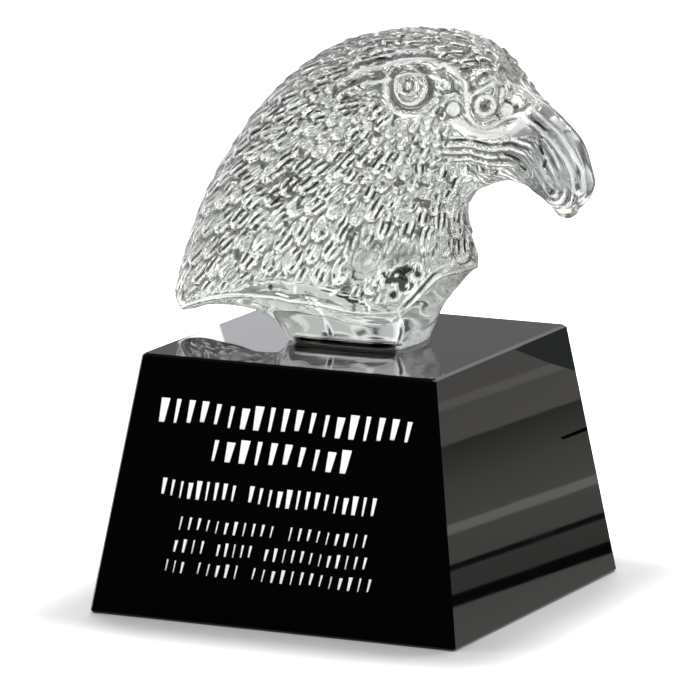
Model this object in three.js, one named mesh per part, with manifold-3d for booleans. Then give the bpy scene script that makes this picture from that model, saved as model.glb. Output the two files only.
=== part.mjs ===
import * as THREE from 'three';
import { mergeVertices } from 'three/addons/utils/BufferGeometryUtils.js';
import Module from 'manifold-3d';

// A clear glass eagle head on a black glass plinth. Millimetres, +Z up.
// The origin is the middle of the plinth's underside, the beak points along +X
// and the inscribed face of the plinth looks along -Y.

const wasm = await Module();
wasm.setup();

// Plinth: a square block that narrows upwards
const footSide = 125;
const topSide = 100;
const plinthHeight = 81;
const edgeChamfer = 0.7;

// Inscription: how deep its strokes are cut, and the part of the face it fills
const strokeDepth = 0.5;
const blockWidthShare = 0.78;
const blockTopShare = 0.84;
const blockHeightShare = 0.68;

// Eagle head: its height above the plinth and how far its foot stands from the plinth's middle
const eagleHeight = 100;
const eagleForward = 0;

// Size of the facets of the glass on the neck, how much finer they get on the face, and how
// much coarser along the middle of the back
const facetSize = 2.88;
const faceFineness = 0.55;
const backCoarseness = 0.35;

// Feather tiles
const featherLength = 12.5;
const featherWidth = 7.6;
const featherRise = 1.5;

const percent = eagleHeight / 100;

// Form of the head, in percent of its height, from the foot up the neck and out along the beak.
// Each row is one cross-section: where it meets the back line (along, up), where it meets the
// front line (along, up), its half width, how square its back and front ends are, and the
// power that draws its front end to an edge (small numbers) or a round (one half).
const sections = [
  [-19.5, 0.0, 22.0, 0.0, 16.0, 7.0, 7.0, 0.5],
  [-23.6, 4.4, 24.4, 5.0, 16.9, 6.0, 6.0, 0.5],
  [-30.5, 8.0, 27.8, 10.6, 18.2, 4.6, 4.6, 0.6],
  [-41.0, 8.2, 32.0, 15.9, 19.8, 3.8, 3.6, 0.75],
  [-50.0, 7.6, 35.8, 20.4, 21.0, 3.2, 3.2, 0.85],
  [-55.8, 5.4, 38.9, 23.6, 21.8, 2.9, 3.0, 0.9],
  [-59.6, 5.0, 41.2, 26.0, 22.4, 2.6, 3.0, 0.9],
  [-61.4, 8.8, 42.3, 28.4, 23.0, 2.5, 3.0, 0.9],
  [-60.1, 17.4, 41.3, 31.2, 23.5, 2.4, 2.8, 0.85],
  [-56.6, 28.0, 39.6, 35.3, 23.6, 2.3, 2.6, 0.75],
  [-52.6, 39.6, 37.8, 39.8, 23.2, 2.2, 2.4, 0.65],
  [-46.0, 52.0, 37.6, 43.9, 22.6, 2.2, 2.3, 0.6],
  [-36.4, 66.6, 39.0, 47.2, 22.0, 2.2, 2.2, 0.55],
  [-23.2, 81.0, 42.2, 50.0, 21.4, 2.2, 2.2, 0.5],
  [-6.6, 92.5, 46.2, 52.3, 21.0, 2.3, 2.2, 0.5],
  [12.6, 98.3, 50.3, 53.8, 20.6, 2.5, 2.2, 0.5],
  [31.0, 99.5, 54.0, 54.0, 19.4, 2.6, 2.2, 0.5],
  [43.4, 96.8, 57.0, 53.4, 17.2, 2.6, 2.2, 0.5],
  [50.2, 92.0, 59.3, 52.7, 14.8, 2.5, 2.2, 0.5],
  [52.7, 86.2, 60.8, 52.0, 12.8, 2.3, 2.2, 0.5],
  [57.0, 83.1, 62.2, 51.1, 11.4, 2.2, 2.2, 0.5],
  [63.3, 79.0, 64.0, 49.9, 9.8, 2.0, 2.2, 0.5],
  [69.4, 74.6, 65.4, 48.5, 8.4, 2.0, 2.2, 0.5],
  [75.6, 68.8, 66.6, 47.1, 7.0, 2.0, 2.2, 0.5],
  [79.0, 61.8, 67.5, 45.9, 5.8, 2.0, 2.2, 0.5],
  [80.5, 55.2, 68.4, 44.9, 4.6, 2.0, 2.2, 0.5],
  [78.5, 49.7, 69.3, 44.0, 3.3, 2.0, 2.2, 0.5],
  [75.2, 46.2, 70.8, 43.7, 2.0, 2.0, 2.2, 0.5],
];

// Carving of the face, seen from the side, in percent of the height
const browLine = [
  [-2, 80.5],
  [3.8, 85.8],
  [9.1, 88.1],
  [17.2, 90.1],
  [25.7, 92.5],
  [32, 92.9],
  [37.2, 92],
  [40.9, 90.2],
  [44.4, 87],
  [46.9, 81.6],
];
const eyeCentre = [27.2, 83.8];
const socketCentre = [28.5, 83];
const cereOutline = [
  [46.4, 78.4],
  [48.4, 83],
  [52, 86],
  [57, 86.9],
  [61.5, 84.5],
  [63.6, 80.5],
  [61.5, 77],
  [56.5, 75],
  [51, 73.4],
  [47.2, 74.8],
];
const nostrilCentre = [51.7, 79.6];
const nostrilLobe = [55.6, 81.2];
const lipLine = [
  [43.5, 73.6],
  [46, 72.4],
  [48.5, 71.6],
  [52.3, 70.9],
  [57.9, 71.4],
  [60.8, 74.6],
  [62.2, 77.2],
];
const mouthLine = [
  [36, 68.6],
  [46.9, 68.4],
  [52.4, 67.2],
  [58.3, 67.6],
  [62.2, 65.4],
  [65.1, 60.9],
  [67.5, 56],
  [69.3, 52.2],
];
const ridgeLine = [
  [62.2, 75.8],
  [68.1, 70.7],
  [71.1, 67.5],
  [73.9, 63.9],
  [76.4, 58.7],
  [77, 54],
];
const faceMiddle = [40, 79];
const faceReach = [26, 15];

// Where the feathers point away from, how far along the head their coat reaches at and above
// the throat, and the bare patch on the breast with its inner and outer reach
const featherSource = [40, 95];
const coatEnd = [40, 45];
const throatHeight = 60;
const clearPatch = [24, 25];
const patchReach = [6, 14];

const clamp01 = (value) => Math.min(Math.max(value, 0), 1);

// 0 below start, 1 above end, smooth between
function ease(start, end, value) {
  const share = clamp01((value - start) / (end - start));
  return share * share * (3 - 2 * share);
}

// Distance from a point of the side view to a line of straight pieces
function distanceToLine(along, up, line) {
  let nearest = Infinity;
  for (let i = 1; i < line.length; i += 1) {
    const [startAlong, startUp] = line[i - 1];
    const runAlong = line[i][0] - startAlong;
    const runUp = line[i][1] - startUp;
    const dot = (along - startAlong) * runAlong + (up - startUp) * runUp;
    const share = clamp01(dot / (runAlong * runAlong + runUp * runUp));
    const offAlong = along - startAlong - share * runAlong;
    const offUp = up - startUp - share * runUp;
    nearest = Math.min(nearest, Math.hypot(offAlong, offUp));
  }
  return nearest;
}

function isInside(along, up, outline) {
  let inside = false;
  for (let i = 0, j = outline.length - 1; i < outline.length; j = i, i += 1) {
    const [alongI, upI] = outline[i];
    const [alongJ, upJ] = outline[j];
    const crosses = upI > up !== upJ > up;
    if (crosses && along < ((alongJ - alongI) * (up - upI)) / (upJ - upI) + alongI) inside = !inside;
  }
  return inside;
}

// Places of the sections along the head, measured on both lines, the back line counting more
const backWeight = 0.6;
const sectionPlaces = [0];
for (let i = 1; i < sections.length; i += 1) {
  const backRun = Math.hypot(sections[i][0] - sections[i - 1][0], sections[i][1] - sections[i - 1][1]);
  const frontRun = Math.hypot(sections[i][2] - sections[i - 1][2], sections[i][3] - sections[i - 1][3]);
  sectionPlaces.push(sectionPlaces[i - 1] + backWeight * backRun + (1 - backWeight) * frontRun);
}
const headRun = sectionPlaces[sections.length - 1];
const faceStart = sectionPlaces[13];
const faceEnd = sectionPlaces[22];

function slopeAt(index, column) {
  const last = sections.length - 1;
  const before = Math.max(index - 1, 0);
  const after = Math.min(index + 1, last);
  const runBefore = sectionPlaces[index] - sectionPlaces[before];
  const runAfter = sectionPlaces[after] - sectionPlaces[index];
  const riseBefore = runBefore > 0 ? (sections[index][column] - sections[before][column]) / runBefore : 0;
  const riseAfter = runAfter > 0 ? (sections[after][column] - sections[index][column]) / runAfter : 0;
  return (riseBefore * runAfter + riseAfter * runBefore) / (runBefore + runAfter)
    + (runBefore === 0 ? riseAfter : 0) + (runAfter === 0 ? riseBefore : 0);
}

// The cross-section at any place, by smooth cubics through the rows of the table
function sectionAt(place) {
  let i = 0;
  while (i < sections.length - 2 && place > sectionPlaces[i + 1]) i += 1;
  const run = sectionPlaces[i + 1] - sectionPlaces[i];
  const u = (place - sectionPlaces[i]) / run;
  const w = 1 - u;
  return sections[i].map((start, column) => (
    (1 + 2 * u) * w * w * start
    + u * w * w * run * slopeAt(i, column)
    + u * u * (3 - 2 * u) * sections[i + 1][column]
    - u * u * w * run * slopeAt(i + 1, column)));
}

// How finely the surface is divided at a point: 1 on the neck, more on the face, less on the back
function finenessAt([along, across, up]) {
  const fromFace = Math.hypot((along - faceMiddle[0]) / faceReach[0], (up - faceMiddle[1]) / faceReach[1]);
  const offMiddle = clamp01(Math.abs(across) / 14);
  return 1 + faceFineness * (1 - ease(0.6, 1.2, fromFace)) - backCoarseness * (1 - offMiddle);
}

// One ring of the head without its carving: the section's outline, in steps of equal fineness.
// The rim of the foot dips at its front corners and rises to the breast.
const rimPlace = sectionPlaces[6];
const rimReach = [rimPlace, 30];
const rimCorner = 0.81;
const cornerDip = 9;
const backLift = 3.7;
const beadStart = [8, 16];
const outlineSteps = 360;

// How far the rim's height departs from a straight line drawn from its back to its front
function rimBend(toFront) {
  if (toFront < 0.47) return backLift * Math.sin((Math.PI * toFront) / 0.47);
  if (toFront < rimCorner) return -cornerDip * ease(0.42, rimCorner, toFront);
  return -cornerDip * (1 - ease(rimCorner, 0.94, toFront));
}

function ringAt(place, count) {
  const section = sectionAt(place);
  const [backAlong, backUp, frontAlong, frontUp, halfWidth, backPower, frontPower, frontEdge] = section;
  const reach = place < rimPlace ? rimReach[0] : rimReach[1];
  const nearRim = ease(0, 1, 1 - Math.abs(place - rimPlace) / reach);
  const outline = [];
  const lengths = [0];
  for (let i = 0; i <= outlineSteps; i += 1) {
    const turn = (2 * Math.PI * i) / outlineSteps;
    const cosine = Math.cos(turn);
    const sine = Math.sin(turn);
    const power = cosine > 0 ? backPower : frontPower;
    const edge = cosine > 0 ? 0.5 : frontEdge;
    const width = halfWidth * Math.max(1 - Math.abs(cosine) ** power, 0) ** edge;
    const toFront = (1 - cosine) / 2;
    outline.push([
      backAlong + (frontAlong - backAlong) * toFront,
      sine > 0 ? -width : width,
      backUp + (frontUp - backUp) * toFront + nearRim * rimBend(toFront),
    ]);
    if (i > 0) {
      const step = outline[i].map((value, axis) => value - outline[i - 1][axis]);
      lengths.push(lengths[i - 1] + Math.hypot(...step) * finenessAt(outline[i]));
    }
  }
  const ring = [];
  let i = 0;
  for (let k = 0; k < count; k += 1) {
    const wanted = (lengths[outlineSteps] * k) / count;
    while (lengths[i + 1] < wanted) i += 1;
    const share = (wanted - lengths[i]) / (lengths[i + 1] - lengths[i] || 1);
    const point = outline[i].map((value, axis) => value + share * (outline[i + 1][axis] - value));
    ring.push(new THREE.Vector3(...point));
  }
  return { ring, steps: lengths[outlineSteps] };
}

// The ring together with the direction in which its surface faces at each point
function facedRingAt(place, count) {
  const sideStep = 0.4;
  const { ring } = ringAt(place, count);
  const ringBefore = ringAt(Math.max(place - sideStep, 0), count).ring;
  const ringAfter = ringAt(Math.min(place + sideStep, headRun), count).ring;
  return ring.map((point, k) => {
    const around = ring[(k + 1) % count].clone().sub(ring[(k + count - 1) % count]);
    const upward = ringAfter[k].clone().sub(ringBefore[k]);
    return { point, facing: around.cross(upward).normalize() };
  });
}

// How much of the feather coat shows at a place: none on the foot, beak, cere and eye
function featherCover(point, place) {
  const { x: along, y: across, z: up } = point;
  const overRim = ease(rimPlace + 2, rimPlace + 6, place - hemRise(point));
  const behindFace = 1 - ease(...coatEnd, along - 0.25 * Math.max(throatHeight - up, 0));
  const onCrown = Math.abs(across) < 12 ? 1 : 0;
  const offEye = onCrown + ease(8.5, 12, Math.hypot(along - eyeCentre[0], up - eyeCentre[1]));
  const offPatch = ease(...patchReach, Math.hypot(along - clearPatch[0], (up - clearPatch[1]) * 0.8));
  return overRim * behindFace * clamp01(offEye) * offPatch;
}

// The feather coat ends in an arc above the rim, with a smooth lens of glass between the two
function hemRise(point) {
  const share = (point.x + 33) / 54;
  return share > 0 && share < 1 ? 5.5 * Math.sin(Math.PI * share) : 0;
}

// Feathers are laid one after another from the breast up, none nearer to another than their
// pitch, on one side, then mirrored. Each points away from the brow, back and down.
function layFeathers() {
  const feathers = [];
  const seedStep = 1.4;
  for (let place = rimPlace; place < headRun; place += seedStep) {
    const count = 2 * Math.round(ringAt(place, 4).steps / seedStep / 2);
    const ring = facedRingAt(place, count);
    for (let k = 0; k <= count / 2; k += 1) {
      const { point, facing } = ring[k];
      const onMiddle = k === 0 || k === count / 2;
      const offMiddle = onMiddle || Math.abs(point.y) > featherWidth * 0.42 / percent;
      if (!offMiddle || featherCover(point, place) < 0.3) continue;
      const apart = (other) => {
        const offset = point.clone().sub(other.point);
        const lengthwise = offset.dot(other.flow) / (featherLength / percent) / 0.62;
        const sideways = offset.dot(other.side) / (featherWidth / percent) / 0.86;
        return Math.hypot(lengthwise, sideways, offset.dot(other.facing) / (featherWidth / percent)) >= 1;
      };
      if (!feathers.every(apart)) continue;
      const flow = new THREE.Vector3(
        Math.min(point.x - featherSource[0], -8),
        point.y * 0.5,
        point.z - featherSource[1],
      );
      flow.addScaledVector(facing, -flow.dot(facing));
      if (onMiddle) flow.y = 0;
      flow.normalize();
      feathers.push({ point, facing, flow, side: facing.clone().cross(flow) });
    }
  }
  const mirrored = feathers.filter((feather) => feather.point.y < -0.01).map((feather) => {
    const flip = (vector) => new THREE.Vector3(vector.x, -vector.y, vector.z);
    const facing = flip(feather.facing);
    const flow = flip(feather.flow);
    return { point: flip(feather.point), facing, flow, side: facing.clone().cross(flow) };
  });
  return feathers.concat(mirrored);
}

// Height of the coat over a point: the highest of the feathers there. A feather is a leaf-shaped
// tile that rises from its root to its tip and is domed across.
function featherHeight(point, feathers) {
  let height = 0;
  const length = featherLength / percent;
  const halfWidth = featherWidth / percent / 2;
  for (const feather of feathers) {
    const offset = point.clone().sub(feather.point);
    if (offset.lengthSq() > length * length) continue;
    const share = offset.dot(feather.flow) / length + 0.45;
    if (share < 0 || share > 1) continue;
    const leafWidth = halfWidth * Math.sqrt(1 - ((share - 0.45) / 0.57) ** 2 * (share > 0.45 ? 1 : 0.6));
    const sideShare = Math.abs(offset.dot(feather.side)) / leafWidth;
    if (sideShare > 1) continue;
    height = Math.max(height, (0.2 + 0.8 * share) * (1 - 0.55 * sideShare * sideShare));
  }
  return ((height - 0.5) * featherRise) / percent;
}

// Carving of the sides of the face, outward positive: brow, socket, eye, cere, nostril, lips
function faceCarving(point, facing) {
  const { x: along, z: up } = point;
  if (along < -12 || up < 48) return 0;
  const onSide = ease(0.25, 0.6, Math.abs(facing.y));
  const eyeReach = Math.hypot(along - eyeCentre[0], up - eyeCentre[1]);
  const socketReach = Math.hypot((along - socketCentre[0]) / 17, (up - socketCentre[1]) / 8.5);
  const brow = 2.6 * Math.exp(-((distanceToLine(along, up, browLine) / 2.3) ** 2));
  const socket = -3.2 * (1 - ease(0.35, 1, socketReach));
  const eyeball = 3 * (1 - ease(0, 5.4, eyeReach));
  const eyelid = 1.4 * Math.exp(-(((eyeReach - 7.4) / 1.3) ** 2));
  const cereEdge = distanceToLine(along, up, [...cereOutline, cereOutline[0]]);
  const cereLift = isInside(along, up, cereOutline) ? ease(0, 2.2, cereEdge) : 0;
  const nostrilReach = Math.hypot(along - nostrilCentre[0], up - nostrilCentre[1]);
  const nostrilRing = 0.9 * Math.exp(-(((nostrilReach - 2.7) / 0.9) ** 2));
  const nostril = nostrilRing - 1.2 * Math.exp(-((nostrilReach / 1.5) ** 2));
  const lobeReach = Math.hypot(along - nostrilLobe[0], up - nostrilLobe[1]);
  const lobe = 0.9 * Math.exp(-((lobeReach / 2) ** 2));
  const lip = 1.3 * Math.exp(-((distanceToLine(along, up, lipLine) / 1.8) ** 2));
  const mouth = -1.5 * Math.exp(-((distanceToLine(along, up, mouthLine) / 1.6) ** 2));
  const ridge = -0.8 * Math.exp(-((distanceToLine(along, up, ridgeLine) / 1.8) ** 2));
  const eye = socket + eyeball + eyelid;
  const beak = 1.5 * cereLift + nostril + lobe + lip + mouth + ridge;
  const thin = clamp01(Math.abs(point.y) / 6);
  return onSide * thin * (brow + eye + beak);
}

// The smooth lens of glass above the rim, and the rim's own bead
function footCarving(point, place) {
  const rise = hemRise(point);
  const above = place - rimPlace;
  const bead = 0.9 * Math.exp(-((above / 1.6) ** 2)) * ease(...beadStart, point.z + Math.max(point.x, 0));
  if (rise < 0.5 || above < 0 || above > rise + 2) return bead;
  return bead + 1.1 * Math.sin((Math.PI * above) / (rise + 2));
}

function carvedRing(place, count, feathers) {
  return facedRingAt(place, count).map(({ point, facing }) => {
    const foot = footCarving(point, place);
    const face = faceCarving(point, facing);
    const coat = featherCover(point, place) * featherHeight(point, feathers);
    const fade = ease(0, 6, place) * ease(0, 8, headRun - place);
    return point.addScaledVector(facing, fade * (foot + face + coat));
  });
}

// A closed mesh over rings that each run anticlockwise seen from above, whatever their counts
function closedMesh(rings) {
  const positions = [];
  const faces = [];
  const starts = rings.map((ring) => {
    const start = positions.length / 3;
    ring.forEach((point) => positions.push(point.x, point.y, point.z));
    return start;
  });
  for (let i = 1; i < rings.length; i += 1) {
    const lowCount = rings[i - 1].length;
    const highCount = rings[i].length;
    let low = 0;
    let high = 0;
    while (low < lowCount || high < highCount) {
      const lowLags = (low + 0.5) * highCount <= (high + 0.5) * lowCount;
      const stepLow = high >= highCount || (low < lowCount && lowLags);
      const lowHere = starts[i - 1] + (low % lowCount);
      const highHere = starts[i] + (high % highCount);
      if (stepLow) {
        low += 1;
        faces.push(lowHere, starts[i - 1] + (low % lowCount), highHere);
      } else {
        high += 1;
        faces.push(lowHere, starts[i] + (high % highCount), highHere);
      }
    }
  }
  const capOver = (ring, start, facesUp) => {
    const middle = ring.reduce((sum, point) => sum.add(point), new THREE.Vector3()).divideScalar(ring.length);
    const centre = positions.length / 3;
    positions.push(middle.x, middle.y, middle.z);
    ring.forEach((_, k) => {
      const here = start + k;
      const next = start + ((k + 1) % ring.length);
      faces.push(centre, facesUp ? here : next, facesUp ? next : here);
    });
  };
  capOver(rings[0], starts[0], false);
  capOver(rings[rings.length - 1], starts[rings.length - 1], true);
  const geometry = new THREE.BufferGeometry();
  geometry.setAttribute('position', new THREE.Float32BufferAttribute(positions, 3));
  geometry.setIndex(faces);
  return geometry;
}

function eagleGeometry() {
  const feathers = layFeathers();
  const rings = [];
  const pitch = facetSize / percent;
  let place = 0;
  while (place < headRun) {
    const count = Math.max(6, Math.round(ringAt(place, 4).steps / pitch / 2.3));
    rings.push(carvedRing(place, 2 * count, feathers));
    const onFace = ease(faceStart - 6, faceStart + 6, place) * (1 - ease(faceEnd - 6, faceEnd + 6, place));
    place += pitch / (1 + faceFineness * onFace);
  }
  rings.push(carvedRing(headRun, 12, feathers));
  const geometry = closedMesh(rings);
  geometry.scale(percent, percent, percent);
  return geometry;
}

// A square ring with its corners cut off, anticlockwise from above
function squareRing(halfSide, height, cut) {
  const corners = [[-1, -1], [1, -1], [1, 1], [-1, 1]];
  return corners.flatMap(([x, y]) => {
    const alongX = new THREE.Vector3((halfSide - cut) * x, halfSide * y, height);
    const alongY = new THREE.Vector3(halfSide * x, (halfSide - cut) * y, height);
    return x * y > 0 ? [alongY, alongX] : [alongX, alongY];
  });
}

function plinthGeometry() {
  const lean = (footSide - topSide) / 2 / plinthHeight;
  const halfSideAt = (height) => footSide / 2 - lean * height;
  const levels = [0, edgeChamfer, plinthHeight - edgeChamfer, plinthHeight];
  const rings = levels.map((height) => {
    const isEnd = height === 0 || height === plinthHeight;
    return squareRing(halfSideAt(height) - (isEnd ? edgeChamfer : 0), height, edgeChamfer);
  });
  return closedMesh(rings);
}

// Rows of the inscription: the top, height, shift to the right and width of each as shares of
// the block, how bold its strokes are, and its words, each a pair of its share of the row's
// width and its number of strokes
const rows = [
  { top: 0, height: 0.135, shift: 0.006, width: 1, bold: 0.64, words: [[1, 19]] },
  { top: 0.195, height: 0.13, shift: -0.006, width: 0.56, bold: 0.64, words: [[1, 10]] },
  { top: 0.443, height: 0.105, shift: -0.04, width: 0.85, bold: 0.6, words: [[0.36, 9], [0.6, 14]] },
  { top: 0.649, height: 0.075, shift: -0.016, width: 0.75, bold: 0.38, words: [[0.52, 11], [0.43, 9]] },
  {
    top: 0.773, height: 0.075, shift: -0.021, width: 0.77, bold: 0.38, words: [[0.18, 4], [0.2, 5], [0.54, 12]],
  },
  {
    top: 0.889, height: 0.075, shift: -0.023, width: 0.82, bold: 0.38, words: [[0.11, 3], [0.22, 5], [0.59, 13]],
  },
];

// The strokes' tops and bottoms as shares of the row's height, measured from its top, and how
// wide they are, used one after another
const strokeKinds = [
  { high: 0, low: 1, wide: 1 },
  { high: 0.1, low: 1, wide: 0.45 },
  { high: 0, low: 0.86, wide: 0.8 },
  { high: 0, low: 1, wide: 0.5 },
  { high: 0.14, low: 1, wide: 0.9 },
  { high: 0.06, low: 0.9, wide: 0.55 },
  { high: 0, low: 0.94, wide: 0.7 },
];

// Corners of every stroke on the face, as [across, up the face] pairs: wedges that all lean the
// same way and differ in height and width. They spell nothing.
function strokeOutlines(blockWidth, blockTop, blockHeight) {
  const outlines = [];
  rows.forEach((row, rowIndex) => {
    const rowWidth = blockWidth * row.width;
    const spare = 1 - row.words.reduce((sum, [share]) => sum + share, 0);
    const gap = row.words.length > 1 ? (spare / (row.words.length - 1)) * rowWidth : 0;
    let wordStart = blockWidth * row.shift - rowWidth / 2;
    row.words.forEach(([share, strokes]) => {
      const pitch = (share * rowWidth) / strokes;
      for (let i = 0; i < strokes; i += 1) {
        const middle = wordStart + pitch * (i + 0.5);
        const { high, low, wide } = strokeKinds[(i * 3 + rowIndex) % strokeKinds.length];
        const top = blockTop - (row.top + high * row.height) * blockHeight;
        const bottom = blockTop - (row.top + low * row.height) * blockHeight;
        const halfTop = (pitch * row.bold * wide) / 2;
        const halfBottom = halfTop * 0.62;
        const lean = pitch * 0.12;
        outlines.push([
          [middle - lean - halfBottom, bottom],
          [middle - lean + halfBottom, bottom],
          [middle + lean + halfTop, top],
          [middle + lean - halfTop, top],
        ]);
      }
      wordStart += share * rowWidth + gap;
    });
  });
  return outlines;
}

// A closed bar through the face for each stroke, as deep as the stroke and a little proud
function strokeGeometries() {
  const lean = (footSide - topSide) / 2 / plinthHeight;
  const slant = Math.atan(lean);
  const faceHeight = plinthHeight / Math.cos(slant);
  const faceWidth = (footSide + topSide) / 2;
  const proud = 1;
  const blockWidth = faceWidth * blockWidthShare;
  const outlines = strokeOutlines(blockWidth, faceHeight * blockTopShare, faceHeight * blockHeightShare);
  return outlines.map((corners) => {
    const shape = new THREE.Shape(corners.map(([across, up]) => new THREE.Vector2(across, up)));
    const bar = new THREE.ExtrudeGeometry(shape, { depth: strokeDepth + proud, bevelEnabled: false });
    bar.translate(0, 0, -strokeDepth);
    bar.rotateX(Math.PI / 2 - slant);
    bar.translate(0, -footSide / 2, 0);
    return bar;
  });
}

function solidFrom(geometry) {
  const bare = geometry.clone();
  bare.deleteAttribute('normal');
  bare.deleteAttribute('uv');
  const merged = mergeVertices(bare, 1e-4);
  return new wasm.Manifold(new wasm.Mesh({
    numProp: 3,
    vertProperties: new Float32Array(merged.attributes.position.array),
    triVerts: new Uint32Array(merged.index.array),
  }));
}

function geometryFrom(solid) {
  const mesh = solid.getMesh();
  const geometry = new THREE.BufferGeometry();
  geometry.setAttribute('position', new THREE.BufferAttribute(mesh.vertProperties, 3));
  geometry.setIndex(new THREE.BufferAttribute(mesh.triVerts, 1));
  return geometry;
}

function inscribedPlinth() {
  let solid = solidFrom(plinthGeometry());
  for (const bar of strokeGeometries()) solid = solid.subtract(solidFrom(bar));
  return geometryFrom(solid);
}

function addPiece(group, name, geometry, finish, place) {
  const mesh = new THREE.Mesh(geometry, new THREE.MeshStandardMaterial(finish));
  mesh.name = name;
  mesh.position.copy(place);
  group.add(mesh);
}

const award = new THREE.Group();
const blackGlass = { color: 0x08080a, roughness: 0.04, metalness: 0 };
const clearGlass = { color: 0xdfe6e2, roughness: 0.03, metalness: 0, transparent: true, opacity: 0.4 };
addPiece(award, 'plinth', inscribedPlinth(), blackGlass, new THREE.Vector3(0, 0, 0));
addPiece(award, 'eagle_head', eagleGeometry(), clearGlass, new THREE.Vector3(eagleForward, 0, plinthHeight));

export default award;
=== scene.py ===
import math

import bpy
import numpy as np
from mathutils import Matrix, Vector


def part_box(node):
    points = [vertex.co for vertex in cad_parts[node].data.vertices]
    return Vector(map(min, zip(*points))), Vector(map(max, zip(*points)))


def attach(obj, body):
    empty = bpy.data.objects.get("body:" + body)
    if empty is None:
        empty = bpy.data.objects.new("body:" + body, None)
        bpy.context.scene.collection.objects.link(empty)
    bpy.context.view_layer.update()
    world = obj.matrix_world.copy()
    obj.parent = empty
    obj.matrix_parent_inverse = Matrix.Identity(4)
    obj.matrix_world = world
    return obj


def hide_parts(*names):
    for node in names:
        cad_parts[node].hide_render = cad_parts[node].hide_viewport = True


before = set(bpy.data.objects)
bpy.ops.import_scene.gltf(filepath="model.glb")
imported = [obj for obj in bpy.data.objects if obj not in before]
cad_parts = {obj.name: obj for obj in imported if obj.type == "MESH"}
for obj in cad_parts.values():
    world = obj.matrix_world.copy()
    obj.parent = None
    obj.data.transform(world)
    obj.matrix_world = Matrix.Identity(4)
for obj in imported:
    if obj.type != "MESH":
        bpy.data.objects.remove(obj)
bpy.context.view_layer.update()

# A clear glass eagle head on a black glass plinth. Metres, +Z up, beak along +X,
# engraved face towards -Y. The shapes of the head are in percent of its height.

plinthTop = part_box("plinth")[1].z
tau = 2 * math.pi


# Shader maths: a Field wraps one socket, and sums and products of Fields add Math nodes
class Field:
    def __init__(self, tree, socket=None):
        self.tree = tree
        self.socket = socket

    # Any other node: its type, its settings, then the values or links of its sockets
    def make(self, kind, settings=None, inputs=None, output=0):
        node = self.tree.nodes.new(kind)
        for name, value in (settings or {}).items():
            if name == "stops":
                for stop in range(len(value) - 2):
                    node.color_ramp.elements.new(0.5)
                for element, (place, colour) in zip(node.color_ramp.elements, value):
                    element.position = place
                    element.color = colour
            else:
                setattr(node, name, value)
        for name, value in (inputs or {}).items():
            if isinstance(value, Field):
                self.tree.links.new(value.socket, node.inputs[name])
            else:
                node.inputs[name].default_value = value
        return Field(self.tree, node.outputs[output])

    def maths(self, operation, first, second=0.0):
        return self.make("ShaderNodeMath", {"operation": operation}, {0: first, 1: second})

    def __add__(self, other):
        return self.maths("ADD", self, other)

    def __radd__(self, other):
        return self.maths("ADD", other, self)

    def __sub__(self, other):
        return self.maths("SUBTRACT", self, other)

    def __rsub__(self, other):
        return self.maths("SUBTRACT", other, self)

    def __mul__(self, other):
        return self.maths("MULTIPLY", self, other)

    def __rmul__(self, other):
        return self.maths("MULTIPLY", other, self)

    def cosine(self):
        return self.maths("COSINE", self)

    def absolute(self):
        return self.maths("ABSOLUTE", self)

    # The greater of this and another value
    def orMore(self, other):
        return self.maths("MAXIMUM", self, other)

    # 0 at low, 1 at high, straight between
    def fromTo(self, low, high):
        return self.make("ShaderNodeMapRange", {}, {0: self, 1: low, 2: high})

    # 0 below low, 1 above high, smooth between
    def ramped(self, low, high):
        settings = {"interpolation_type": "SMOOTHSTEP"}
        return self.make("ShaderNodeMapRange", settings, {0: self, 1: low, 2: high})


def newMaterial(name, plain):
    material = bpy.data.materials.new(name)
    material.use_nodes = True
    shader = material.node_tree.nodes["Principled BSDF"]
    for socket, value in plain.items():
        shader.inputs[socket].default_value = value
    return material, shader, Field(material.node_tree)


def linkTo(field, shader, socket):
    field.tree.links.new(field.socket, shader.inputs[socket])


def mixColours(field, share, first, second):
    return field.make("ShaderNodeMix", {"data_type": "RGBA"}, {0: share, 6: first, 7: second}, 2)


def bumpOf(height):
    return height.make("ShaderNodeBump", {}, {"Height": height, "Distance": 1.0, "Strength": 1.0})


def noiseOf(field, vector, scale, detail):
    return field.make("ShaderNodeTexNoise", {}, {"Vector": vector, "Scale": scale, "Detail": detail})


# Smooth step from 0 at low to 1 at high, for whole arrays
def ease(low, high, value):
    share = np.clip((value - low) / (high - low), 0, 1)
    return share * share * (3 - 2 * share)


# Bell of the given half breadth, 1 at its middle: e to the minus (distance / breadth) squared
def bell(distance, breadth):
    return np.exp(-(distance / breadth) ** 2)


# Half ball of the given radius, 1 at its middle: root of 1 - (distance / radius) squared
def dome(distance, radius):
    return np.sqrt(np.clip(1 - (distance / radius) ** 2, 0, 1))


# Every point brought to the +Y side, where the lines and places of the carving are given
def onOneSide(surface):
    return surface * [1, 0, 1] + np.abs(surface * [0, 1, 0])


# Shortest distance from each point of a surface to a line of straight pieces in space, or to
# its mirrored twin on the far side
def distanceToLine(surface, line):
    points = onOneSide(surface)
    nearest = np.full(surface.shape[:2], np.inf)
    for start, end in zip(np.array(line[:-1]), np.array(line[1:])):
        run = end - start
        share = np.clip((points - start) @ run / (run @ run), 0, 1)
        nearest = np.minimum(nearest, np.linalg.norm(points - start - share[..., None] * run, axis=-1))
    return nearest


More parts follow.
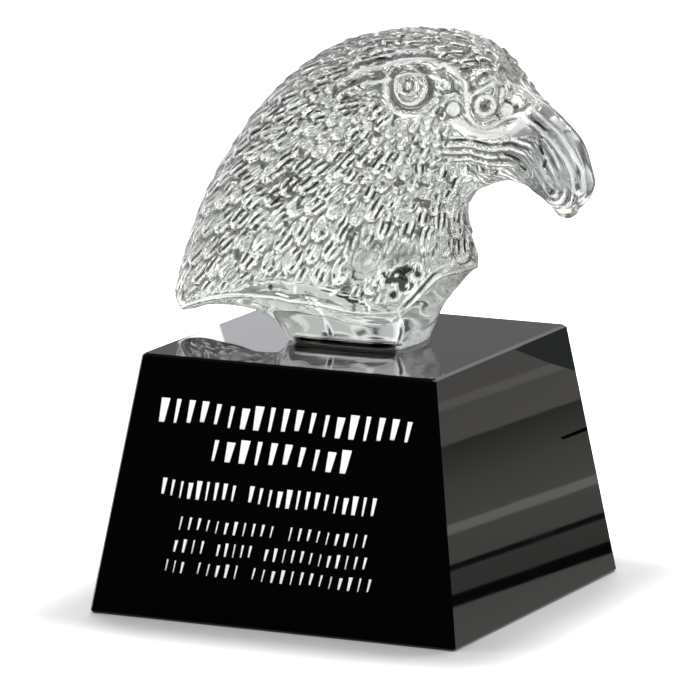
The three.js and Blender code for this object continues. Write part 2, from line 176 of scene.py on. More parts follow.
# A smooth or flat mesh object at the origin from vertices in metres and faces of any size
def meshObject(name, vertices, faceCorners, faceSizes, smooth):
    mesh = bpy.data.meshes.new(name)
    mesh.vertices.add(len(vertices))
    mesh.vertices.foreach_set("co", vertices.astype(np.float32).ravel())
    mesh.loops.add(len(faceCorners))
    mesh.loops.foreach_set("vertex_index", faceCorners.astype(np.int32))
    mesh.polygons.add(len(faceSizes))
    starts = np.concatenate([[0], np.cumsum(faceSizes)[:-1]])
    mesh.polygons.foreach_set("loop_start", starts.astype(np.int32))
    mesh.polygons.foreach_set("use_smooth", smooth)
    mesh.update(calc_edges=True)
    mesh.validate()
    piece = bpy.data.objects.new(name, mesh)
    bpy.context.scene.collection.objects.link(piece)
    return piece


# Faces of a grid of rings: four-sided between the rings, one flat many-sided face below the
# first ring and one above the last. Rings run anticlockwise seen from above.
def ringFaces(rows, columns):
    index = np.arange(rows * columns).reshape(rows, columns)
    nextColumn = np.roll(index, -1, axis=1)
    walls = np.stack([index[:-1], nextColumn[:-1], nextColumn[1:], index[1:]], axis=-1).reshape(-1, 4)
    corners = np.concatenate([walls.ravel(), index[0][::-1], index[-1]])
    sizes = np.concatenate([np.full(len(walls), 4), [columns, columns]])
    return corners, sizes


# The eagle head
headLook = {
    "height": 0.100,            # above the plinth
    "rows": 276,                # rings of the surface, and points on each
    "columns": 346,
    "faceFineness": 0.5,        # how much finer the grid gets on the face
    "backCoarseness": 0.35,     # and how much coarser on the middle of the back
    "outlineSteps": 720,        # of a ring before its points are spaced
    "tipRings": 6,              # that close the tip of the beak
    "featherLength": (6.2, 12.0),   # at the face, at the foot of the neck
    "featherWidth": (3.8, 7.0),
    "featherOverlap": (0.6, 0.84),  # pitch along and across, as shares of length and width
    "featherSizes": (0.88, 1.12),   # how they vary in size and height
    "featherRises": (0.8, 1.15),
    "featherWander": 0.09,      # and in direction
    "featherSeed": 11,
    "featherRise": 1.15,        # height of a feather's tip
    "coatLevel": 0.5,           # the height of the coat that lies level with the bare head
    "flutePitch": 2.1,          # of the fine lines along a feather
    "fluteDepth": 0.34,
    # The two darker tints are painted shade: one on the smooth parts, one in the grooves, creases and dark
    # flecks
    "tint": (0.385, 0.407, 0.37, 1),        # of the glass, of its smooth parts and of the grooves
    "smoothShadeTint": (0.245, 0.258, 0.248, 1),
    "paintedShadeTint": (0.003, 0.0033, 0.0027, 1),
}
unit = headLook["height"] / 100

# One row for each cross-section, from the foot up the neck and out along the beak: where it
# meets the back line (along, up) and the front line (along, up), its half width, how square
# its back and front ends are, and the power that draws its front end to an edge or a round.
headSections = np.array([
    [-19.5, 0.0, 22.0, 0.0, 16.0, 7.0, 7.0, 0.5],
    [-23.6, 4.4, 24.4, 5.0, 16.9, 6.0, 6.0, 0.5],
    [-30.5, 8.0, 27.8, 10.6, 18.2, 4.6, 4.6, 0.6],
    [-41.0, 8.2, 32.0, 15.9, 19.8, 3.8, 3.6, 0.75],
    [-50.0, 7.6, 35.8, 20.4, 21.0, 3.2, 3.2, 0.85],
    [-55.8, 5.4, 38.9, 23.6, 21.8, 2.9, 3.0, 0.9],
    [-59.6, 5.0, 41.2, 26.0, 22.4, 2.6, 3.0, 0.9],
    [-61.4, 8.8, 42.3, 28.4, 23.0, 2.5, 3.0, 0.9],
    [-60.1, 17.4, 41.3, 31.2, 23.5, 2.4, 2.8, 0.85],
    [-56.6, 28.0, 39.6, 35.3, 23.6, 2.3, 2.6, 0.75],
    [-52.6, 39.6, 37.8, 39.8, 23.2, 2.2, 2.4, 0.65],
    [-46.0, 52.0, 37.6, 43.9, 22.6, 2.2, 2.3, 0.6],
    [-36.4, 66.6, 39.0, 47.2, 22.0, 2.2, 2.2, 0.55],
    [-23.2, 81.0, 42.2, 50.0, 21.4, 2.2, 2.2, 0.5],
    [-6.6, 92.5, 46.2, 52.3, 21.0, 2.3, 2.2, 0.5],
    [12.6, 98.3, 50.3, 53.8, 20.6, 2.5, 2.2, 0.5],
    [31.0, 99.5, 54.0, 54.0, 19.4, 2.6, 2.2, 0.5],
    [43.4, 96.8, 57.0, 53.4, 17.2, 2.6, 2.2, 0.5],
    [50.2, 92.0, 59.3, 52.7, 14.8, 2.5, 2.2, 0.5],
    [52.7, 86.2, 60.8, 52.0, 12.8, 2.3, 2.2, 0.5],
    [57.0, 83.1, 62.2, 51.1, 11.4, 2.2, 2.2, 0.5],
    [63.3, 79.0, 64.0, 49.9, 9.8, 2.0, 2.2, 0.5],
    [69.4, 74.6, 65.4, 48.5, 8.4, 2.0, 2.2, 0.5],
    [75.6, 68.8, 66.6, 47.1, 7.0, 2.0, 2.2, 0.5],
    [79.0, 61.8, 67.5, 45.9, 5.8, 2.0, 2.2, 0.5],
    [80.5, 55.2, 68.4, 44.9, 4.6, 2.0, 2.2, 0.5],
    [78.5, 49.7, 69.3, 44.0, 3.3, 2.0, 2.2, 0.5],
    [75.2, 46.2, 70.8, 43.7, 2.0, 2.0, 2.2, 0.5],
])
backWeight = 0.6    # of the back line in the places along the head
backRun = np.hypot(*np.diff(headSections[:, 0:2], axis=0).T)
frontRun = np.hypot(*np.diff(headSections[:, 2:4], axis=0).T)
sectionPlaces = np.concatenate([[0], np.cumsum(backWeight * backRun + (1 - backWeight) * frontRun)])
headRun = sectionPlaces[-1]
rimPlace = sectionPlaces[6]
rimLift, rimDip = 3.7, 9    # how far the rim lifts behind and dips in front
hemStart, hemLength, hemHeight = -33, 54, 5.5   # the arc that the feather coat ends in

# Carving of the face: lines and places on its surface as (along, across, up), and radii
browLine = [
    (-1.8, 17.9, 80.2), (4.2, 17.2, 85.1), (9.2, 17.2, 87.1), (17.6, 17.5, 89.3), (25.6, 17, 91.3),
    (32, 16.4, 91.8), (36.7, 16.2, 91), (40.5, 16.3, 89.4), (43.8, 16.8, 86.3), (46.1, 17.8, 81.1),
]
faceBack, faceFoot = -14, 48
eyeCentre, eyeRadius = (27.2, 18, 83.8), 4.8
innerLid, outerLid = 5.7, 9.0
# A spot by the eye that is painted dark: painted shade
eyeShadeSpot = (32.8, 18.4, 85.4)
socketCentre, socketReach, socketDepth = (28.5, 83), (18, 8.2), 2.6
foreheadPatch = (41.5, 85.5)
lorePearl, lorePearlRadius = (41.8, 19.2, 78.2), 2.3
loreLeaf = [(39.2, 20.1, 73.9), (43, 19.6, 74.5), (46, 19.4, 73.4)]
cereSpine = [(51.2, 16.3, 78.5), (53.8, 11.5, 80.6), (57.8, 5.9, 80.9)]
cereGaps = [
    [(54.9, 9.6, 79.9), (56.1, 9.1, 79.2)],
    [(57.8, 8.7, 77.9), (58.1, 8.2, 78.3)],
    [(53.6, 14.4, 77.9), (53, 14.3, 79.5)],
    [(52.9, 7.4, 84.2), (52.7, 5.7, 85.2)],
]
nostrilCentre, nostrilRing = (51.1, 16.2, 79.4), 2.6
nostrilLobes, lobeRadius = [(53.2, 10.5, 82.8), (55.9, 10.7, 77.7), (57.8, 6.3, 80.6)], 2.1
lipLine = [
    (43.5, 19.5, 73.6), (46, 19.3, 72.4), (48.5, 18.9, 71.6), (52.3, 17.2, 70.9), (57.9, 12.6, 71.4),
    (60.8, 9.3, 74.6), (62.2, 6.3, 77.2),
]
mouthLine = [
    (36, 19, 68.6), (41.5, 18.8, 68.2), (46.9, 18.8, 68.4), (52.4, 16, 67.2), (58.3, 11.9, 67.6),
    (62.2, 9.6, 65.4), (65.1, 8, 60.9), (67.5, 6.3, 56), (69.3, 5.7, 52.2),
]
creaseLine = [
    (62.2, 7.3, 75.8), (68.1, 5.8, 70.7), (71.1, 5.3, 67.5), (73.9, 4.8, 63.9), (76.4, 4.1, 58.7),
    (77, 3.8, 54),
]
tipPearl = (71, 5, 50.2)
beakMarks = [
    [(66.2, 0, 67.0), (67.0, 0, 64.6)],
    [(68.0, 0, 62.4), (67.4, 0, 60.6)],
    [(61.9, 0, 59.6), (60.7, 0, 60.4)],
    [(56.8, 0, 64.4), (60.4, 0, 62.4)],
]
footSeams = [
    [(20.6, 13, 2.6), (21.3, 13, 5.9), (24, 17.3, 14.5), (32, 12, 24.8), (39.9, 2.1, 31.5)],
    [(-4.5, 23.2, 15), (-1.0, 16.6, 4.2)],
]
bubbles = [     # along, up and radius
    (19, 25.1, 0.9), (19.7, 22.8, 0.8), (21.7, 24.1, 1.5), (23.2, 26, 1.2), (24.8, 26.6, 1.1),
    (26.9, 26.7, 0.9), (27.9, 24.9, 0.7), (23.9, 23.2, 1.4), (24, 20.9, 1.1), (25.6, 21.4, 1.1),
    (21.3, 18.6, 0.9),
]
bubbleGlints = [(22.1, 24.5, 0.35), (25.3, 21.4, 0.4), (27.1, 26.9, 0.3), (19.3, 24.9, 0.3)]
faceMiddle, faceReach = (40, 79), (26, 15)
featherSource = (40, 95)
clearPatches = [(24, 24, 11), (12, 28, 7)]     # along, up and reach

# Unevenness of the glass: turns along each axis and height of three crossed waves
glassWaves = [(0.31, 0.22, 0.17, 0.10), (-0.19, 0.41, 0.33, 0.08), (0.52, -0.3, 0.47, 0.05)]


# The row of the table at any place along the head: smooth cubics through the rows, each with
# the slope that its two neighbours give, weighted by how near they are
def sectionAt(places):
    runs = np.diff(sectionPlaces)[:, None]
    slopes = np.diff(headSections, axis=0) / runs
    tangents = np.empty_like(headSections)
    tangents[1:-1] = (slopes[:-1] * runs[1:] + slopes[1:] * runs[:-1]) / (runs[1:] + runs[:-1])
    tangents[0], tangents[-1] = slopes[0], slopes[-1]
    i = np.clip(np.searchsorted(sectionPlaces, places, side="right") - 1, 0, len(runs) - 1)
    u = ((places - sectionPlaces[i])[:, None]) / runs[i]
    w = 1 - u
    rising = (1 + 2 * u) * w * w * headSections[i] + u * w * w * runs[i] * tangents[i]
    return rising + u * u * (3 - 2 * u) * headSections[i + 1] - u * u * w * runs[i] * tangents[i + 1]


# How far the foot's rim departs from a straight line from its back to its front: it lifts
# behind, dips at the front corners and rises to the breast
def rimBend(toFront):
    lift = rimLift * np.sin(math.pi * np.clip(toFront / 0.47, 0, 1))
    dip = rimDip * ease(0.42, 0.81, toFront) * (1 - ease(0.81, 0.94, toFront))
    return lift - dip


# How finely the surface is divided: 1 on the neck, more on the face, less along the back
def finenessAt(along, across, up):
    fromFace = np.hypot((along - faceMiddle[0]) / faceReach[0], (up - faceMiddle[1]) / faceReach[1])
    offMiddle = np.clip(np.abs(across) / 14, 0, 1)
    onFace = headLook["faceFineness"] * (1 - ease(0.6, 1.2, fromFace))
    return 1 + onFace - headLook["backCoarseness"] * (1 - offMiddle)


# The head without carving, as a grid of rings. Each ring is a superellipse between the back
# and the front line: its width is halfWidth * (1 - |cos|^power)^edge. Its points are spaced
# by equal shares of the length of the outline, weighted by the fineness.
def bareSurface(places, columns):
    rows = sectionAt(places)[:, :, None]
    (backAlong, backUp, frontAlong, frontUp,
     halfWidth, backPower, frontPower, frontEdge) = rows.transpose(1, 0, 2)
    turn = np.linspace(0, tau, headLook["outlineSteps"] + 1)[None, :]
    cosine = np.cos(turn)
    power = np.where(cosine > 0, backPower, frontPower)
    edge = np.where(cosine > 0, 0.5, frontEdge)
    width = halfWidth * np.clip(1 - np.abs(cosine) ** power, 0, None) ** edge
    toFront = (1 - cosine) / 2
    reach = np.where(places < rimPlace, rimPlace, 30)[:, None]
    nearRim = ease(0, 1, 1 - np.abs(places[:, None] - rimPlace) / reach)
    along = backAlong + (frontAlong - backAlong) * toFront
    across = -np.sign(np.sin(turn)) * width
    up = backUp + (frontUp - backUp) * toFront + nearRim * rimBend(toFront)
    outline = np.stack([along, across, up])
    steps = np.sqrt((np.diff(outline, axis=2) ** 2).sum(axis=0)) * finenessAt(along, across, up)[:, 1:]
    lengths = np.concatenate([np.zeros((len(places), 1)), np.cumsum(steps, axis=1)], axis=1)
    # one long rising key, nearly 1 for each ring, lets one interpolation serve all the rings
    ringNumber, ringShare = np.arange(len(places))[:, None], 0.999
    key = (ringNumber + ringShare * lengths / lengths[:, -1:]).ravel()
    wanted = (ringNumber + ringShare * np.arange(columns)[None, :] / columns).ravel()
    spaced = [np.interp(wanted, key, values.ravel()).reshape(len(places), columns) for values in outline]
    return np.stack(spaced, axis=-1)


# Outward direction of a closed grid: cross product of its steps around and onward
def facingOf(surface):
    around = np.roll(surface, -1, axis=1) - np.roll(surface, 1, axis=1)
    onward = np.gradient(surface, axis=0)
    facing = np.cross(around, onward)
    return facing / np.maximum(np.linalg.norm(facing, axis=-1, keepdims=True), 1e-9)


# The feather coat ends in an arc above the rim, with a smooth lens of glass between the two
def hemRise(along):
    return hemHeight * np.sin(math.pi * np.clip((along - hemStart) / hemLength, 0, 1))


# How far each point lies from a place or its mirrored twin
def distanceTo(surface, place):
    return np.linalg.norm(onOneSide(surface) - np.array(place), axis=-1)


# 1 on the bare patches low on the neck
def patchOf(surface):
    along, across, up = np.moveaxis(surface, -1, 0)
    patches = [ease(reach, reach * 0.45, np.hypot(along - middle, (up - level) * 0.8))
               for middle, level, reach in clearPatches]
    return np.maximum.reduce(patches)


# How much of the feather coat shows: none on the foot, beak, cere, eye and bare patches
def featherCover(surface, places):
    along, across, up = np.moveaxis(surface, -1, 0)
    overRim = ease(rimPlace + 1.5, rimPlace + 4, places[:, None] - hemRise(along))
    limit = 41 + 11 * ease(80, 85, up) + 0.25 * np.clip(60 - up, 0, None)
    behindFace = (1 - ease(-2, 2, along - limit)) * ease(6, 7.5, distanceToLine(surface, cereSpine))
    offEye = ease(9.5, 12, distanceTo(surface, eyeCentre))
    fromForehead = np.hypot(along - foreheadPatch[0], up - foreheadPatch[1])
    offForehead = np.clip(ease(3.5, 6, fromForehead) + (np.abs(across) < 12), 0, 1)
    return overRim * behindFace * offEye * offForehead * (1 - patchOf(surface))


# Feathers are laid one after another from the foot's rim up, none nearer to another than
# their pitch, on one side, and mirrored. Each points back and down, away from their source.
def layFeathers(surface, facing, places, cover):
    look = headLook
    lengthPitch, widthPitch = look["featherOverlap"]
    rng = np.random.default_rng(look["featherSeed"])
    columns = surface.shape[1]
    half = columns // 2
    laid = []
    kept = np.empty((0, 12))
    for row in range(0, len(places), 2):
        for column in range(0, half + 1, 2):
            point, out = surface[row, column], facing[row, column]
            onMiddle = column in (0, half)
            fromEye = np.hypot(point[0] - eyeCentre[0], point[2] - eyeCentre[2])
            growth = float(ease(8, 60, fromEye))
            length, width = (low + (high - low) * growth for low, high in
                             (look["featherLength"], look["featherWidth"]))
            if cover[row, column] < 0.3 or not (onMiddle or abs(point[1]) > 0.42 * width):
                continue
            offset = point - kept[:, 0:3]
            lengthwise = (offset * kept[:, 3:6]).sum(axis=1) / (lengthPitch * length)
            sideways = (offset * kept[:, 6:9]).sum(axis=1) / (widthPitch * width)
            outward = (offset * kept[:, 9:12]).sum(axis=1) / width
            if np.any(lengthwise ** 2 + sideways ** 2 + outward ** 2 < 1):
                continue
            flow = np.array([
                min(point[0] - featherSource[0], -8), point[1] * 0.5, point[2] - featherSource[1]])
            side = np.cross(out, flow)
            flow = flow + side * rng.normal(0, look["featherWander"])
            flow = flow - out * flow.dot(out)
            if onMiddle:
                flow[1] = 0
            flow /= np.linalg.norm(flow)
            side = np.cross(out, flow)
            kept = np.vstack([kept, np.concatenate([point, flow, side, out])])
            scale = rng.uniform(*look["featherSizes"])
            rise = rng.uniform(*look["featherRises"])
            laid.append((row, column, length * scale, width * scale, rise, flow, side))
            if not onMiddle:
                mirror = np.array([1, -1, 1])
                laid.append((row, columns - column, *laid[-1][2:5], flow * mirror, side * mirror))
    return laid


# The coat's height over every point, the highest feather there: a leaf-shaped tile that rises
# from root to tip and is domed across. Also where on its feather each point lies.
def coatOver(surface, feathers):
    rows, columns = surface.shape[:2]
    height = np.zeros((rows, columns))
    across = np.zeros((rows, columns))
    along = np.zeros((rows, columns))
    rowReach, columnReach = 34, 30      # more rings and points than a feather covers
    for row, column, length, width, rise, flow, side in feathers:
        low, high = max(row - rowReach, 0), min(row + rowReach, rows)
        picked = np.arange(column - columnReach, column + columnReach) % columns
        window = np.ix_(np.arange(low, high), picked)
        offset = surface[window] - surface[row, column % columns]
        share = offset @ flow / length + 0.45
        leaf = np.sqrt(np.clip(1 - ((share - 0.42) / np.where(share > 0.42, 0.58, 0.75)) ** 2, 0.001, None))
        sideways = offset @ side
        sideShare = np.abs(sideways) / (width / 2 * leaf)
        near = (share > 0) & (share < 1) & ((offset ** 2).sum(axis=-1) < length ** 2)
        tile = (0.12 + 0.88 * share) * (1 - 0.5 * sideShare ** 2) * ease(1.05, 0.8, sideShare)
        tile = np.where(near, rise * tile * ease(1.0, 0.93, share), 0)
        higher = tile > height[window]
        height[window] = np.where(higher, tile, height[window])
        across[window] = np.where(higher, sideways, across[window])
        along[window] = np.where(higher, share, along[window])
    return height, across, along


# How strong the rings of the eye are: full below and behind it, half in front and above
def lidShare(surface):
    along, across, up = np.moveaxis(surface, -1, 0)
    backward, down = eyeCentre[0] - along, eyeCentre[2] - up
    return 0.5 + 0.5 * ease(-0.5, 0.7, (backward + down) * 0.7 / np.maximum(np.hypot(backward, down), 0.1))


# Carving of the face, outward positive: brow, socket, eye, lore, cere, nostril, lips, the
# bands beside the mouth and the crease along the beak
def faceCarving(surface, facing):
    along, across, up = np.moveaxis(surface, -1, 0)
    onSide = ease(0.05, 0.3, np.abs(facing[..., 1])) * np.clip(np.abs(across) / 4, 0, 1)
    browReach = distanceToLine(surface, browLine)
    beside = 0.7 * bell(browReach - 4.2, 0.8) - 0.5 * bell(browReach - 2.6, 0.8)
    brow = (1.5 * bell(browReach, 1.5) + beside * (1 - ease(36, 42, along))) * ease(-4, 10, along)
    eyeReach = distanceTo(surface, eyeCentre)
    fromSocket = np.hypot((along - socketCentre[0]) / socketReach[0], (up - socketCentre[1]) / socketReach[1])
    socket = -socketDepth * (1 - ease(0.35, 1, fromSocket)) * ease(5.2, 6.4, eyeReach)
    eyeball = 1.6 * dome(eyeReach, eyeRadius) - 0.7 * bell(eyeReach - 2.3, 0.6)
    eyelid = 0.8 * bell(eyeReach - innerLid, 0.7) + 0.6 * bell(eyeReach - outerLid, 0.9)
    eyelid = eyelid * lidShare(surface)
    lore = 1.5 * dome(distanceTo(surface, lorePearl), lorePearlRadius)
    lore += 1.1 * bell(distanceToLine(surface, loreLeaf), 1.0)
    cereReach = distanceToLine(surface, cereSpine)
    cere = 0.5 * bell(cereReach - 5.3, 0.8) + 0.5 * (1 - ease(3.5, 5.3, cereReach))
    nostrilReach = distanceTo(surface, nostrilCentre)
    nostril = 1.2 * bell(nostrilReach - nostrilRing, 0.7) - 1.0 * bell(nostrilReach, 1.2)
    for place, rise in zip(nostrilLobes, (0.7, 0.8, 0.5)):
        nostril = nostril + rise * dome(distanceTo(surface, place), lobeRadius)
    lip = 1.3 * bell(distanceToLine(surface, lipLine), 1.6) * (1 - 0.85 * ease(55, 61, along))
    mouthReach = distanceToLine(surface, mouthLine)
    underMouth = ease(0.5, 2, mouthReach) * (1 - ease(6, 8.5, mouthReach)) * ease(34, 40, along) * (up < 69)
    mouth = -1.5 * bell(mouthReach, 0.8) + 0.45 * np.cos(tau * (mouthReach / 2.5 + 0.5)) * underMouth
    creaseReach = distanceToLine(surface, creaseLine)
    crease = -1.0 * bell(creaseReach, 0.7) + 0.5 * bell(creaseReach - 1.7, 0.7)
    beak = cere + nostril + lip + mouth + crease
    everywhere = brow + socket + eyeball + eyelid + lore + beak
    return onSide * np.where((along > faceBack) & (up > faceFoot), everywhere, 0)


# How far from the nearest of some lines inside the glass, seen from the side, on the near
# side only
def distanceInside(surface, lines):
    fromLines = [distanceToLine(surface * [1, 0, 1], line) for line in lines]
    return np.minimum.reduce(fromLines) + 99 * (surface[..., 1] > 0)


# How far outside the nearest of some bubbles, seen from the side, on the near side only
def outsideBubbles(surface, rounds):
    along, across, up = np.moveaxis(surface, -1, 0)
    fromRounds = [np.hypot(along - middle, up - level) - radius for middle, level, radius in rounds]
    return np.minimum.reduce(fromRounds) + 99 * (across > 0)


# How much painted highlight (above 0) or painted shade (below 0) the carving gets in the glass's colour:
# rings, lips and pearls are painted pale, the creases between them and the bubbles painted dark
def paintedLightShadeOf(surface, places):
    along, across, up = np.moveaxis(surface, -1, 0)
    overRim = places[:, None] - rimPlace + 0 * along
    overLens = overRim - hemRise(along) - 1.5
    hasLens = ease(0.5, 4, hemRise(along))
    browReach = distanceToLine(surface, browLine)
    eyeReach = distanceTo(surface, eyeCentre)
    nostrilReach = distanceTo(surface, nostrilCentre)
    creaseReach = distanceToLine(surface, creaseLine)
    onFoot = ease(8, 12, np.abs(across)) * ease(-16, -12, along) * ease(21, 18, along)
    offBubbles = outsideBubbles(surface, bubbles)
    seams = np.minimum.reduce([distanceToLine(surface, line) for line in footSeams])
    gaps = np.minimum.reduce([distanceToLine(surface, line) for line in cereGaps])
    onBrow = ease(0, 12, along)
    besideBrow = onBrow * (1 - ease(36, 42, along))
    lids = lidShare(surface)
    # Painted highlights: rings, lips, pearls, bubble glints, seams and lines along the rim and the lens
    pale = np.maximum.reduce([
        bell(distanceToLine(surface, lipLine), 1.8),
        0.9 * bell(browReach, 0.8) * onBrow, 0.8 * bell(browReach - 4.2, 0.6) * besideBrow,
        0.9 * bell(eyeReach - 5.6, 0.5) * lids, 0.7 * bell(eyeReach - outerLid, 0.6) * lids,
        1 - ease(1.6, 2.5, distanceTo(surface, lorePearl)),
        0.7 * bell(distanceToLine(surface, loreLeaf), 0.9),
        0.9 * bell(nostrilReach - nostrilRing, 0.6),
        1 - ease(1.2, 2.0, distanceTo(surface, nostrilLobes[0])),
        1 - ease(1.2, 2.0, distanceTo(surface, nostrilLobes[1])),
        0.8 * bell(distanceToLine(surface, cereSpine) - 5.6, 0.5),
        1 - ease(1.2, 2.2, distanceTo(surface, tipPearl)),
        0.8 * bell(creaseReach - 1.7, 0.5),
        0.7 * bell(offBubbles - 0.9, 0.35), 1 - ease(0, 0.3, outsideBubbles(surface, bubbleGlints)),
        0.8 * bell(overRim - 0.7, 0.45), 0.7 * bell(overLens, 0.45) * hasLens,
        0.6 * bell(seams - 1.0, 0.35),
        bell(up - 3.0, 0.45) * onFoot,
    ])
    # Painted shade: creases, mouth, nostril, rings, a spot by the eye, bubbles, marks, seams, gaps and lines
    # along the rim and the lens
    dark = np.maximum.reduce([
        bell(creaseReach, 0.55) * ease(50, 66, up),
        0.8 * bell(distanceToLine(surface, mouthLine), 0.6),
        0.9 * bell(nostrilReach, 0.8), 0.5 * bell(browReach - 1.9, 0.4) * besideBrow,
        0.6 * bell(eyeReach - 7.3, 0.5) * lids, 0.6 * bell(eyeReach - 2.4, 0.4) * lids,
        bell(distanceTo(surface, eyeShadeSpot), 1.0),
        1 - ease(-0.1, 0.3, offBubbles), bell(distanceInside(surface, beakMarks), 0.5), bell(seams, 0.45),
        bell(gaps, 0.7), 0.7 * bell(overRim + 0.4, 0.35), 0.6 * bell(overLens - 1.0, 0.35) * hasLens,
        ease(2.4, 2.1, up) * onFoot,
    ])
    return pale - dark * (1 - pale)


# Where the glass is smooth and painted a darker tint as painted shade: 1 on the beak before the cere, on the
# foot and on bare patches
def smoothAndShadedOf(surface, places):
    along, across, up = np.moveaxis(surface, -1, 0)
    beak = ease(56, 60, along) * ease(5.8, 6.6, distanceToLine(surface, cereSpine)) * (up > faceFoot)
    foot = ease(rimPlace - 1, rimPlace - 3, places[:, None]) + 0 * along
    return np.maximum.reduce([beak, foot, patchOf(surface)])


# The smooth lens of glass above the rim, and the rim's own bead
def footCarving(surface, places):
    along, across, up = np.moveaxis(surface, -1, 0)
    above = places[:, None] - rimPlace
    rise = hemRise(along)
    bead = 0.7 * bell(above, 1.1) * ease(8, 16, up + np.clip(along, 0, None))
    lens = 0.8 * np.sin(math.pi * np.clip(above / (rise + 1.5), 0, 1)) * ease(0.5, 4, rise)
    return bead + lens


# Soft unevenness of fire-polished glass: the sum of a few crossed sine waves
def softWaves(surface):
    total = 0
    for turnX, turnY, turnZ, size in glassWaves:
        total = total + size * np.sin(surface @ np.array([turnX, turnY, turnZ]) * 1.3 + turnY * 9)
    return total


# Relief above its own average over the neighbouring points: ridges are above 0, grooves below
def cavityOf(relief, reach):
    padded = np.pad(relief, ((reach, reach), (0, 0)), mode="edge")
    level = sum(padded[i:i + len(relief)] for i in range(2 * reach + 1)) / (2 * reach + 1)
    level = sum(np.roll(level, i, axis=1) for i in range(-reach, reach + 1)) / (2 * reach + 1)
    return relief - level


# Closes the tip with a few shrinking rings, a quarter circle from the last ring to its middle
def closedTip(surface, rings):
    last = surface[-1]
    middle = last.mean(axis=0)
    outward = np.cross(last[0] - middle, last[len(last) // 4] - middle)
    outward /= np.linalg.norm(outward)
    angle = np.linspace(0, math.pi / 2, rings + 1)[1:, None, None] * 0.97
    cap = middle + (last - middle)[None] * np.cos(angle) + outward * 1.1 * np.sin(angle)
    return np.concatenate([surface, cap])


def makeHead():
    look = headLook
    dense = np.linspace(0, headRun, 2000)
    faceStart, faceEnd, blend = sectionPlaces[13], sectionPlaces[22], 6
    onFace = ease(faceStart - blend, faceStart + blend, dense)
    onFace = onFace * (1 - ease(faceEnd - blend, faceEnd + blend, dense))
    density = np.cumsum(1 + look["faceFineness"] * onFace)
    places = np.interp(np.linspace(density[0], density[-1], look["rows"]), density, dense)
    surface = bareSurface(places, look["columns"])
    facing = facingOf(surface)
    cover = featherCover(surface, places)
    feathers = layFeathers(surface, facing, places, cover)
    height, featherAcross, featherShare = coatOver(surface, feathers)
    print("feathers laid:", len(feathers))
    coat = cover * (height - look["coatLevel"]) * look["featherRise"]
    fade = (ease(0, 5, places) * ease(0, 6, headRun - places))[:, None]
    carving = fade * (faceCarving(surface, facing) + coat)
    relief = carving + fade * (footCarving(surface, places) + softWaves(surface))
    edgeRound = 0.5 * np.clip(1 - places / 0.9, 0, 1)[:, None] ** 2
    carved = surface + facing * (relief - edgeRound)[..., None]
    carved[0, :, 2] = 0
    closed = closedTip(carved, look["tipRings"])
    rows, columns = closed.shape[:2]
    corners, sizes = ringFaces(rows, columns)
    smooth = np.ones(len(sizes), bool)
    smooth[-2:] = False
    vertices = closed.reshape(-1, 3) * unit + np.array([0, 0, plinthTop])
    piece = meshObject("eagle_head_glass", vertices, corners, sizes, smooth)
    extra = rows - len(places)
    cavity = cavityOf(carving, 2)
    kept = (("featherAcross", featherAcross), ("featherShare", featherShare),
            ("featherCover", cover * (height > 0.02)), ("cavity", cavity),
            ("polish", paintedLightShadeOf(surface, places)), ("calm", smoothAndShadedOf(surface, places)))
    for name, values in kept:
        filled = np.concatenate([values, np.zeros((extra, columns))])
        attribute = piece.data.attributes.new(name, "FLOAT", "POINT")
        attribute.data.foreach_set("value", filled.astype(np.float32).ravel())
    return piece


glassLook = {
    "plain": {"IOR": 1.46, "Transmission Weight": 1.0},
    "broken": (170.0, 1.0),     # scale and detail of the noise that breaks the flutes
    "wobble": (130.0, 2.0),     # that bends them
    "wide": (190.0, 2.0),       # that makes the surface uneven
    # The flecks are painted shade and painted highlight
    "fleck": (250.0, 1.0),      # that strews dark and white flecks
    "haze": (60.0, 3.0),        # that dulls the gloss
    "cellScale": 210.0,
    "roughness": 0.006,
    "hazeRoughness": 0.02,
    "calmRoughness": 0.12,
    "paleRoughness": 0.28,
}


